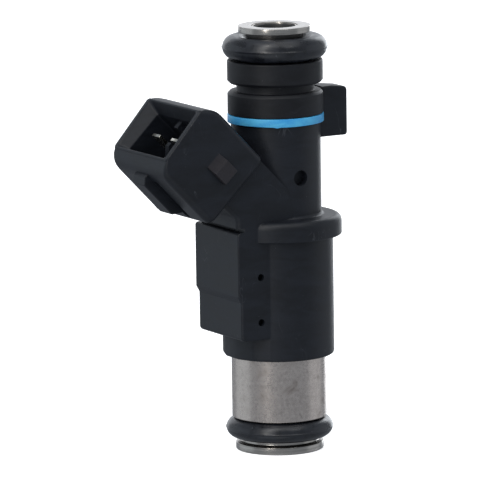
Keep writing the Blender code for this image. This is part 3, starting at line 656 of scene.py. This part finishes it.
sleeve = {
    "out": 6.57, "low": 4.12, "shoulder": 14.60, "chamfer": 0.16, "stub": 4.02, "tip": 0.05, "neck": 4.30,
    "top": 17.40, "armatureBore": 3.60, "armatureLow": 8.00, "needleBore": 2.60, "seatTop": 4.90,
    "seatBore": 3.35}
dress(turn("lowerSleeve", named(sleeve, [
    ("seatBore", "tip", 0), ("stub", "tip", 0.1), ("stub", "low", 0), ("out", "low", "chamfer"),
    ("out", "shoulder", 0), ("neck", "shoulder", 0), ("neck", "top", 0), ("armatureBore", "top", 0),
    ("armatureBore", "armatureLow", 0), ("needleBore", "armatureLow", 0), ("needleBore", "seatTop", 0),
    ("seatBore", "seatTop", 0)])), "brushed_steel", ["lower_sleeve"])

endRing = {"bore": 4.10, "lip": 6.10, "low": -0.50, "lipTop": 0.55, "neck": 5.30, "neckLow": 0.55 + 0.08,
           "top": 1.12}
dress(turn("endRing", named(endRing, [
    ("bore", "low", 0.1), ("lip", "low", 0.16), ("lip", "lipTop", 0.10), ("neck", "neckLow", 0.22),
    ("neck", "top", 0), ("bore", "top", 0)])), "polished_steel", ["end_ring"])


# Collar and colour ring

collar = {
    "bore": 4.80, "out": 6.62, "groove": 5.35, "low": 46.66, "grooveLow": 49.80, "grooveHigh": 50.90,
    "top": 54.10, "chamfer": 0.36, "topEdge": 0.22, "tubeBore": 3.96, "step": 50.10}
beside = collar["out"] - collar["chamfer"]
dress(turn("retainingCollar", named(collar, [
    ("bore", "low", 0), ("out", "low", 0.10), ("out", collar["grooveLow"] - collar["chamfer"], 0.16),
    (beside, "grooveLow", 0.12), ("groove", "grooveLow", 0.10), ("groove", "grooveHigh", 0.10),
    (beside, "grooveHigh", 0.12), ("out", collar["grooveHigh"] + collar["chamfer"], 0.16),
    ("out", "top", "topEdge"), ("tubeBore", "top", 0), ("tubeBore", "step", 0), ("bore", "step", 0)])),
    "collar_plastic", ["retaining_collar"])

band = {"bore": 4.80, "out": 6.67, "low": 45.47, "high": 46.57, "edge": 0.08, "wave": 0.05, "nib": 0.10,
        "nibAt": 242, "nibWidth": 0.05, "lowerPart": 0.4}
ring = turn("colourRing", hoop(band, 0, "edge", "edge", 0), 180, 3)
for vert in ring.data.vertices:
    # the ring was cut from a strip, so its lower edge wanders and keeps a small nib
    if vert.co.z < (band["low"] + band["lowerPart"]) * mm:
        angle = math.atan2(vert.co.y, vert.co.x)
        away = (angle - math.radians(band["nibAt"]) + math.pi) % (2 * math.pi) - math.pi
        rise = band["wave"] * math.sin(3 * angle + 0.6) * math.sin(angle + 1.1)
        vert.co.z += (rise - band["nib"] * math.exp(-((away / band["nibWidth"]) ** 2))) * mm
dress(ring, "blue_plastic", ["colour_ring"])


# Moulded body: barrel with its flat-sided box, lofted in one outline

body = {
    "barrel": 7.75, "low": 12.90, "lowEdge": 0.40, "fillet": 0.45, "half": 6.12,
    "front": 9.66, "corner": 0.28, "lowerFront": 9.22, "lowerCorner": 0.42,
    "boxLow": 16.20, "boxLowRound": 0.55, "boxTop": 31.40, "boxTopEdge": 0.42, "groove": 1.00,
    "stepLow": 21.62, "stepHigh": 22.38, "stepSoft": 0.10,
    "flange": 8.98, "flangeLow": 29.70, "flangeHigh": 32.50, "flangeEdge": 0.12, "flangeRound": 0.95}


def bodyRing(z, barrel, front, half, corner, fillet):
    # half of the outline from the back of the barrel to the middle of the front, then its mirror image
    backSteps, filletSteps, cornerSteps = 40, 5, 6
    centreX = -math.sqrt((barrel + fillet) ** 2 - (half + fillet) ** 2)
    meet = math.atan2(half + fillet, centreX)
    angles = [meet * part / backSteps for part in range(1, backSteps + 1)]
    points = [(barrel * math.cos(angle), barrel * math.sin(angle)) for angle in angles]
    for part in range(1, filletSteps + 1):
        angle = meet + math.pi + (1.5 * math.pi - meet - math.pi) * part / filletSteps
        points.append((centreX + fillet * math.cos(angle), half + fillet + fillet * math.sin(angle)))
    points.append(((centreX - front + corner) / 2, half))
    for part in range(cornerSteps + 1):
        angle = math.pi / 2 + math.pi / 2 * part / cornerSteps
        points.append((-front + corner + corner * math.cos(angle), half - corner + corner * math.sin(angle)))
    points.append((-front, half / 3))
    mirrored = [(x, -y) for x, y in reversed(points)]
    return [(barrel, 0.0, z)] + [(x, y, z) for x, y in points + mirrored]


def plainRing(z, barrel, like):
    # the same number of points round a plain circle, at the angles of another ring
    angles = [math.atan2(y, x) for x, y, _ in like]
    return [(barrel * math.cos(angle), barrel * math.sin(angle), z) for angle in angles]


def makeBarrel():
    b = body
    barrel, half, front, fillet, corner = (b[key] for key in ("barrel", "half", "front", "fillet", "corner"))
    lowerFront, lowerCorner, soft = b["lowerFront"], b["lowerCorner"], b["stepSoft"]
    foot = bodyRing(0, barrel, lowerFront, half, lowerCorner, fillet)
    rows = [plainRing(b["low"] + along, barrel - back, foot) for back, along in quarterRound(b["lowEdge"], 4)]
    rows.append(plainRing(b["boxLow"], barrel, foot))
    for back, along in quarterRound(b["boxLowRound"], 4):
        rows.append(bodyRing(b["boxLow"] + along, barrel, lowerFront - back, half - back * 0.25, lowerCorner,
                             fillet))
    # the step up the box's front, with soft edges
    for z, ahead, edge in [
        (b["stepLow"] - soft, lowerFront, lowerCorner), (b["stepLow"], lowerFront + 0.02, lowerCorner),
        (b["stepLow"] + soft, lowerFront + 0.07, 0.41), (b["stepHigh"] - soft, front - 0.06, 0.33),
        (b["stepHigh"], front - 0.02, 0.29), (b["stepHigh"] + soft, front, corner),
        (b["flangeLow"], front, corner),
    ]:
        rows.append(bodyRing(z, barrel, ahead, half, edge, fillet))
    flange, edge = b["flange"], b["flangeEdge"]
    for z, radius in [(b["flangeLow"], flange - edge), (b["flangeLow"] + edge, flange)]:
        rows.append(bodyRing(z, radius, front, half, corner, fillet))
    for back, along in quarterRound(b["boxTopEdge"], 4):
        rows.append(bodyRing(b["boxTop"] - back, flange, front - along, half, corner, fillet))
    behind = front - b["groove"]
    rows.append(bodyRing(b["boxTop"], flange, behind, half, corner, fillet))
    for back, along in quarterRound(b["flangeRound"], 6):
        rows.append(bodyRing(b["flangeHigh"] - back, flange - along, behind, half, corner, fillet))
    return makePiece("mouldedBody", skin(rows))


# Socket housing on its sloping axis: along runs out of the mouth, across from its low side to its high side

socket = {
    "cornerX": -22.15, "cornerZ": 40.68, "slope": math.radians(45.8), "half": 7.56, "low": 0.10,
    "back": 10.80, "deep": 12.10, "endRound": 0.95, "endCorner": 0.90,
    "rimLow": 1.85, "rimHigh": 10.45, "rimLowAt": 1.03, "rimHighAt": 1.72, "rimRound": 0.24,
    "rimCorner": 0.50}
# the mouth's edge runs back in a curve: low and high side's places along and across, and the corner
socketLip = [
    (0.44, 1.05, 1.10, 0.58, 0.60), (0.05, 0.50, 0.66, 0.98, 0.70), (-0.35, -0.05, 0.36, 1.34, 0.80),
    (-0.85, -0.60, 0.14, 1.56, 0.95), (-1.45, -1.30, 0.03, 1.64, 1.10), (-2.10, -2.00, 0.0, 1.65, 1.20)]


def socketPlace(along, across, y):
    cosine, sine = math.cos(socket["slope"]), math.sin(socket["slope"])
    return (socket["cornerX"] - along * cosine + across * sine, y,
            socket["cornerZ"] + along * sine + across * cosine)


def frameRing(lowAlong, highAlong, half, low, high, lowCorner, highCorner):
    # a rounded rectangle across the socket; its along value runs evenly from the low side to the high side
    steps = 8
    points = []
    quarter = [(1, 1, 0), (-1, 1, 90), (-1, -1, 180), (1, -1, 270)]
    for sideY, sideAcross, start in quarter:
        corner = lowCorner if sideAcross < 0 else highCorner
        centreY = sideY * (half - corner)
        centreAcross = high - corner if sideAcross > 0 else low + corner
        for part in range(steps + 1):
            angle = math.radians(start + 90 * part / steps)
            y = centreY + corner * math.cos(angle)
            across = centreAcross + corner * math.sin(angle)
            share = (across - low) / (high - low)
            points.append(socketPlace(lowAlong + (highAlong - lowAlong) * share, across, y))
    return points


def makeHousing():
    s = socket
    half = s["half"]
    rows = []
    for back, along in quarterRound(s["rimRound"], 3):
        rows.append(frameRing(s["rimLowAt"] - along, s["rimHighAt"] - along, half - back,
                              s["rimLow"] + back, s["rimHigh"] - back, s["rimCorner"], s["rimCorner"]))
    for lowAlong, highAlong, low, high, corner in socketLip:
        rows.append(frameRing(lowAlong, highAlong, half, s["low"] + low, s["rimHigh"] + high, corner, 0.80))
    shoulder = -s["back"] + 1.6
    rows.append(frameRing(shoulder, shoulder, half, s["low"], s["deep"], 1.10, 1.0))
    for back, along in reversed(quarterRound(s["endRound"], 6)):
        end = -s["back"] + along
        rows.append(frameRing(end, end, half - back, s["low"] + back, s["deep"] - back, s["endRound"],
                              s["endCorner"]))
    return makePiece("housing", skin(rows))


well = {
    "wall": 0.95, "lip": 0.45, "mouthCorner": 0.55, "half": 5.55, "low": 2.75, "high": 9.25, "corner": 0.35,
    "floor": -7.20, "leadIn": 1.15}
wellMouth = [(0.8, 0.18), (0.0, 0.18), (-0.05, 0.08), (-0.18, 0.0)]  # ahead of the rim, wider than the wall
wellTop = [(0.08, 0.10), (0.0, 0.03), (-0.12, 0.0)]


def makeCavity():
    s, w = socket, well
    half, low, high = s["half"] - w["wall"], s["rimLow"] + w["lip"], s["rimHigh"] - w["lip"]
    lowAt, highAt = s["rimLowAt"], s["rimHighAt"]
    rows = []
    for ahead, wider in wellMouth:
        rows.append(frameRing(lowAt + ahead, highAt + ahead, half + wider, low - wider, high + wider,
                              w["mouthCorner"], w["mouthCorner"]))
    levels = [(lowAt + (-w["leadIn"] + ahead), wider) for ahead, wider in wellTop]
    levels.append((w["floor"], 0.0))
    for along, wider in levels:
        rows.append(frameRing(along, along, w["half"] + wider, w["low"] - wider, w["high"] + wider,
                              w["corner"], w["corner"]))
    return makePiece("cavity", skin(rows))


neck = {"front": 9.66, "low": 32.00, "bend": 33.30, "bendRound": 1.2, "corner": 0.80, "into": 0.5,
        "across": 3.5, "under": 0.15, "tail": -17.0, "rootX": -1.0, "rootHigh": 34.0, "proud": 0.004}


def sideRow(y, back):
    # the neck's side outline, drawn in at its front by an amount
    inside = -socket["back"] + neck["into"]
    high = socket["deep"] - neck["under"]
    places = [socketPlace(inside, neck["across"] + back, 0), socketPlace(inside, high, 0),
              socketPlace(neck["tail"], high, 0)]
    outline = roundCorners([
        (-neck["front"] + back, neck["low"], 0), (-neck["front"] + back, neck["bend"], neck["bendRound"]),
        *((x, z, 0) for x, _, z in places), (neck["rootX"], neck["rootHigh"], 0),
        (neck["rootX"], neck["low"], 0)], 4)
    return [(u, y, v) for u, v in outline]


def makeNeck():
    # its flanks carry on those of the box and only its front corners are rounded
    half = body["half"] + neck["proud"]
    rim = quarterRound(neck["corner"], 5)
    rows = [sideRow(-1 * (half - along), back) for back, along in rim]
    rows += [sideRow(half - along, back) for back, along in reversed(rim)]
    return makePiece("neck", skin(rows))


rib = {"half": 1.70, "proud": 1.20, "front": -1.10, "lean": 0.75, "end": -8.30, "endRound": 0.35,
       "tail": 0.80, "root": 1.0, "edge": 0.14}


def makeRib():
    tail = rib["end"] - rib["tail"]
    outline = roundCorners(named(rib, [
        ("front", "root", 0), ("front", -0.35, 0.15), (rib["front"] - rib["lean"], -rib["proud"], 0.25),
        (rib["end"] + rib["endRound"], -rib["proud"], "endRound"), (tail, 0.25, 0.2), (tail, "root", 0)]), 4)
    return slab("rib", outline, -rib["half"], rib["half"], rib["edge"], socketPlace, 3)


pocket = {"half": 2.95, "gap": 0.05, "front": -2.30, "end": -9.75, "depth": 1.30, "outside": -2.0,
          "corner": 0.35, "edge": 0.30}


def makePocket(side):
    low, high = sorted((side * (rib["half"] + pocket["gap"]), side * pocket["half"]))
    outline = roundCorners(named(pocket, [
        ("front", "outside", 0), ("front", "depth", "corner"), ("end", "depth", "corner"),
        ("end", "outside", 0)]), 4)
    return slab("pocket", outline, low, high, pocket["edge"], socketPlace, 3)


nub = {"low": 5.40, "wide": 2.60, "start": -4.20, "end": -8.10, "ramp": 1.65, "proud": 0.79, "root": 0.5,
       "edge": 0.14, "soft": 0.04}


def makeNub(side):
    flank = socket["half"]
    root, face = flank - nub["root"], flank + nub["proud"]
    profile = roundCorners(named(nub, [
        ("start", root, 0), ("start", flank, 0), (nub["start"] - nub["ramp"], face, 0.12),
        ("end", face, 0.20), ("end", root, 0)]), 4)
    rim = [(0.0, nub["edge"]), (nub["soft"], nub["edge"] * 0.3), (nub["edge"], 0.0)]
    levels = [(nub["low"] + into, back) for into, back in rim]
    levels += [(nub["low"] + nub["wide"] - into, back) for into, back in reversed(rim)]
    rows = [[socketPlace(u, across, side * v) for u, v in inset(profile, back)] for across, back in levels]
    return makePiece("nub", skin(rows))


blade = {"spacing": 5.20, "wide": 2.00, "thick": 0.50, "level": 6.15, "tip": -0.48, "bendX": -5.00,
         "end": 26.30, "point": 0.05, "edge": 0.06}


def stripOutline(tip, end, thickness, point):
    # a bent strip that follows the socket's slope and then drops, with a chamfered tip
    tipX, _, tipZ = socketPlace(tip, blade["level"], 0)
    run = (blade["bendX"] - tipX) / math.cos(socket["slope"])
    start = Vector((tipX, tipZ))
    bend = Vector((blade["bendX"], tipZ - run * math.sin(socket["slope"])))
    stop = Vector((blade["bendX"], end))
    first = (bend - start).normalized()
    firstSide = Vector((-first.y, first.x))
    secondSide = Vector((1.0, 0.0))
    mitre = (firstSide + secondSide).normalized()
    mitre = mitre / mitre.dot(firstSide)
    half = thickness / 2
    slant = 1.6  # how much longer the tip's chamfer is than deep
    flanks = [[
        start + firstSide * (half - point) * side, start + first * point * slant + firstSide * half * side,
        bend + mitre * half * side, stop + secondSide * half * side] for side in (1, -1)]
    return [tuple(corner) for corner in flanks[0] + flanks[1][::-1]]


holes = {  # x, z, radius, how far its bottom is from the middle, steps round it
    "roundPit": (0.35, 38.20, 1.08, 4.9, 48),
    "upperVent": (-6.15, 24.95, 0.50, 5.0, 24),
    "lowerVent": (-6.15, 18.65, 0.50, 5.0, 24)}
drillStart = 8.0  # outside the body's flank


def drill(x, z, radius, bottom, steps, side):
    angles = [2 * math.pi * part / steps for part in range(steps)]
    outline = [(x + radius * math.cos(angle), z + radius * math.sin(angle)) for angle in angles]
    ends = sorted((side * bottom, side * drillStart))
    return makePiece("hole", skin([[(u, y, v) for u, v in outline] for y in ends]))


upper = {"low": 31.0, "shoulder": 7.2, "sunk": 0.01, "out": 6.20, "foot": 0.5, "top": 45.40, "topEdge": 0.12,
         "spigot": 4.70, "spigotTop": 50.00}


def makeUpper():
    # the upper barrel, which starts inside the flange and ends as a spigot in the collar
    face = body["flangeHigh"] - upper["sunk"]
    return turn("upper", named(upper, [
        (0, "low", 0), ("shoulder", "low", 0), ("shoulder", face, 0), ("out", face, "foot"),
        ("out", "top", "topEdge"), ("spigot", "top", 0), ("spigot", "spigotTop", 0.1),
        (0, "spigotTop", 0)]))


tab = {"root": 5.5, "end": 10.55, "half": 1.70, "low": 42.80, "lowRound": 0.45, "high": 49.62,
       "highRound": 0.60, "crown": 49.90, "crownX": 8.0, "edge": 0.30, "clear": 6.74,
       "footTop": 45.30, "clearTop": 52}


def makeTab():
    outline = roundCorners(named(tab, [
        ("root", "low", 0), ("end", "low", "lowRound"), ("end", "high", "highRound"),
        ("crownX", "crown", 0), ("root", tab["crown"] - 0.1, 0)]))
    arm = slab("arm", outline, -tab["half"], tab["half"], tab["edge"])
    space = {"bore": 0, "out": tab["clear"], "low": tab["footTop"], "high": tab["clearTop"]}
    combine(arm, turn("around", hoop(space, 0, 0, 0, 0)), "DIFFERENCE")
    return arm


keys = {"half": 0.5, "edge": 0.08, "into": 0.5, "backTip": -0.70, "backLow": 8.15, "backInto": 0.3,
        "frontTip": -1.45, "frontHigh": 6.10, "frontNose": 5.50, "footAlong": -4.20, "footAcross": 2.5}


def makeKeys():
    deep = well["floor"] - keys["into"]
    root = well["high"] + keys["backInto"]
    back = [(deep, "backLow"), ("backTip", "backLow"), ("backTip", root), (deep, root)]
    front = [(deep, "footAcross"), ("footAlong", "footAcross"), ("frontTip", "frontNose"),
             ("frontTip", "frontHigh"), (deep, "frontHigh")]
    return [slab("key", named(keys, outline), -keys["half"], keys["half"], keys["edge"], socketPlace, 2)
            for outline in (back, front)]


bladeSlot = {"into": 1.0, "end": 27.5, "thicker": 0.30, "wider": 0.08, "edge": 0.02}
hollow = {"mouth": 6.63, "coil": 7.15, "tube": 3.96, "low": 12.0, "coilLow": 14.0, "coilHigh": 28.3,
          "top": 51.0}


def makeBody():
    shape = makeBarrel()
    for part in [makeUpper(), makeNeck(), makeHousing(), makeNub(1), makeNub(-1), makeRib()]:
        combine(shape, part, "UNION")
    combine(shape, makeTab(), "UNION")
    for side in (-1, 1):
        combine(shape, makePocket(side), "DIFFERENCE")
    combine(shape, makeCavity(), "DIFFERENCE")
    for key in makeKeys():
        combine(shape, key, "UNION")
    outline = stripOutline(well["floor"] + bladeSlot["into"], bladeSlot["end"],
                           blade["thick"] + bladeSlot["thicker"], 0.0)
    half = blade["wide"] / 2 + bladeSlot["wider"]
    for side in (-1, 1):
        middle = side * blade["spacing"] / 2
        slot = slab("slot", outline, middle - half, middle + half, bladeSlot["edge"], upright, 1)
        combine(shape, slot, "DIFFERENCE")
        for hole in holes.values():
            combine(shape, drill(*hole, side), "DIFFERENCE")
    inside = turn("inside", named(hollow, [
        (0, "low", 0), ("mouth", "low", 0), ("mouth", "coilLow", 0), ("coil", "coilLow", 0),
        ("coil", "coilHigh", 0), ("tube", "coilHigh", 0), ("tube", "top", 0), (0, "top", 0)]), 64)
    combine(shape, inside, "DIFFERENCE")
    return shape


dress(makeBody(), "black_plastic", ["overmould_body"], angle=30)

outline = stripOutline(blade["tip"], blade["end"], blade["thick"], blade["point"])
for side, name, node in ((-1, "bladeLeft", "terminal_left"), (1, "bladeRight", "terminal_right")):
    middle = side * blade["spacing"] / 2
    made = slab(name, outline, middle - blade["wide"] / 2, middle + blade["wide"] / 2, blade["edge"],
                upright, 3)
    dress(made, "tinned_brass", [node])


# Pieces that stay as they are get their finish

carried = {
    "inlet_tube": "polished_steel", "adjusting_tube": "spring_steel", "nonmagnetic_ring": "polished_steel",
    "spray_plate": "polished_steel", "valve_seat": "hardened_steel", "needle_guide": "hardened_steel",
    "coil_housing": "soft_iron", "flux_washer": "soft_iron", "coil_bobbin": "bobbin_plastic",
    "valve_ball": "hardened_steel", "needle": "hardened_steel", "armature": "soft_iron"}
for name, slotName in carried.items():
    finish = "dullTube" if name == "inlet_tube" else slotName  # the tube's steel is darker and rougher; its darkness is painted shade for the shadowed gap under the inlet disc
    for place in nodes[name].material_slots:
        place.material = looks[finish]
print("carried over:", len(carried), "pieces")


# Floor, lights and camera

floorSheet = {"half": 6.0, "level": -0.50 * mm, "dark": 0.93, "light": 0.97, "glow": 0.75, "mottle": 180.0}


def makeFloor():
    half, level = floorSheet["half"], floorSheet["level"]
    mesh = bpy.data.meshes.new("floor")
    corners = [(-half, -half, level), (half, -half, level), (half, half, level), (-half, half, level)]
    mesh.from_pydata(corners, [], [(0, 1, 2, 3)])
    floor = bpy.data.objects.new("floor", mesh)
    bpy.context.scene.collection.objects.link(floor)
    look = Look("paleFloor")
    tone = look.noise(look.place(), floorSheet["mottle"], 2.0)
    colour = look.blend(tone, (*[floorSheet["dark"]] * 3, 1.0), (*[floorSheet["light"]] * 3, 1.0))
    look.shader.inputs["Emission Color"].default_value = (1.0, 1.0, 1.0, 1.0)
    look.shader.inputs["Emission Strength"].default_value = floorSheet["glow"]
    look.shader.inputs["Specular IOR Level"].default_value = 0.0
    mesh.materials.append(look.finish(colour, tone * 0.1 + 0.8))
    floor.visible_glossy = False
    floor.visible_diffuse = False
    floor.visible_shadow = False
    floor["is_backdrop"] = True


camera = {"turn": 29.55, "rise": 9.71, "roll": 0.81, "away": 0.870, "lens": 452.0, "sensor": 36.0,
          "aimHeight": 27.2, "aimLeft": 3.789, "aimUp": 0.133}


def facing(turnDegrees, riseDegrees):
    # direction from the object towards a place round it; turn 0 is the -Y side and grows towards -X
    angle, rise = math.radians(turnDegrees), math.radians(riseDegrees)
    return Vector((-math.sin(angle) * math.cos(rise), -math.cos(angle) * math.cos(rise), math.sin(rise)))


def makeCamera():
    angle = math.radians(camera["turn"])
    back = facing(camera["turn"], camera["rise"])
    right = Vector((math.cos(angle), -math.sin(angle), 0.0))
    up = back.cross(right)
    roll = math.radians(camera["roll"])
    rightTurned = right * math.cos(roll) - up * math.sin(roll)
    upTurned = up * math.cos(roll) + right * math.sin(roll)
    place = Vector((0, 0, camera["aimHeight"] * mm)) + back * camera["away"]
    place += upTurned * camera["aimUp"] * mm - rightTurned * camera["aimLeft"] * mm
    data = bpy.data.cameras.new("camera")
    data.lens = camera["lens"]
    data.sensor_width = camera["sensor"]
    eye = bpy.data.objects.new("camera", data)
    turned = Matrix((rightTurned, upTurned, back)).transposed().to_4x4()
    eye.matrix_world = Matrix.Translation(place) @ turned
    bpy.context.scene.collection.objects.link(eye)
    bpy.context.scene.camera = eye


lights = {  # turn and rise round the object, distance, width, height, glow, tint
    "keyStrip": (58, 36, 0.8, 0.13, 1.20, 6.6, (1, 0.98, 0.95)),
    "topBox": (0, 80, 0.9, 0.9, 0.9, 0.8, (1, 1, 1)),
    "backWall": (205, 12, 1.3, 1.6, 0.9, 0.92, (0.94, 0.96, 1)),
    "leftWall": (132, 6, 1.0, 1.1, 0.9, 0.31, (0.84, 0.94, 1)),
    "rightWall": (-72, 6, 1.0, 0.9, 0.9, 0.25, (0.93, 0.96, 1)),
    "rightRim": (-128, 10, 1.1, 0.4, 0.9, 2.2, (0.92, 0.96, 1)),
    "bounce": (48, -42, 0.8, 0.8, 0.30, 0.60, (0.94, 0.97, 1)),
    "rightTop": (-12, 48, 0.9, 0.22, 0.22, 2.0, (1, 1, 1))}
lightsAim = 28


def makeLights():
    middle = Vector((0, 0, lightsAim * mm))
    for name, (turnDegrees, rise, away, wide, high, glow, tint) in lights.items():
        data = bpy.data.lights.new(name, "AREA")
        data.shape = "RECTANGLE"
        data.size, data.size_y = wide, high
        data.energy = glow * wide * high * math.pi
        data.color = tint
        lamp = bpy.data.objects.new(name, data)
        direction = facing(turnDegrees, rise)
        turned = direction.to_track_quat("Z", "Y").to_matrix().to_4x4()
        lamp.matrix_world = Matrix.Translation(middle + direction * away) @ turned
        lamp.visible_camera = False
        bpy.context.scene.collection.objects.link(lamp)


def makeWorld():
    world = bpy.data.worlds.new("studio")
    bpy.context.scene.world = world
    world.use_nodes = True
    air = world.node_tree.nodes["Background"]
    air.inputs["Color"].default_value = (0.29, 0.315, 0.35, 1.0)
    air.inputs["Strength"].default_value = 1.0
    bpy.context.scene.view_settings.view_transform = "Standard"


makeWorld()
makeFloor()
makeLights()
makeCamera()
print("stage ready")

low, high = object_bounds()
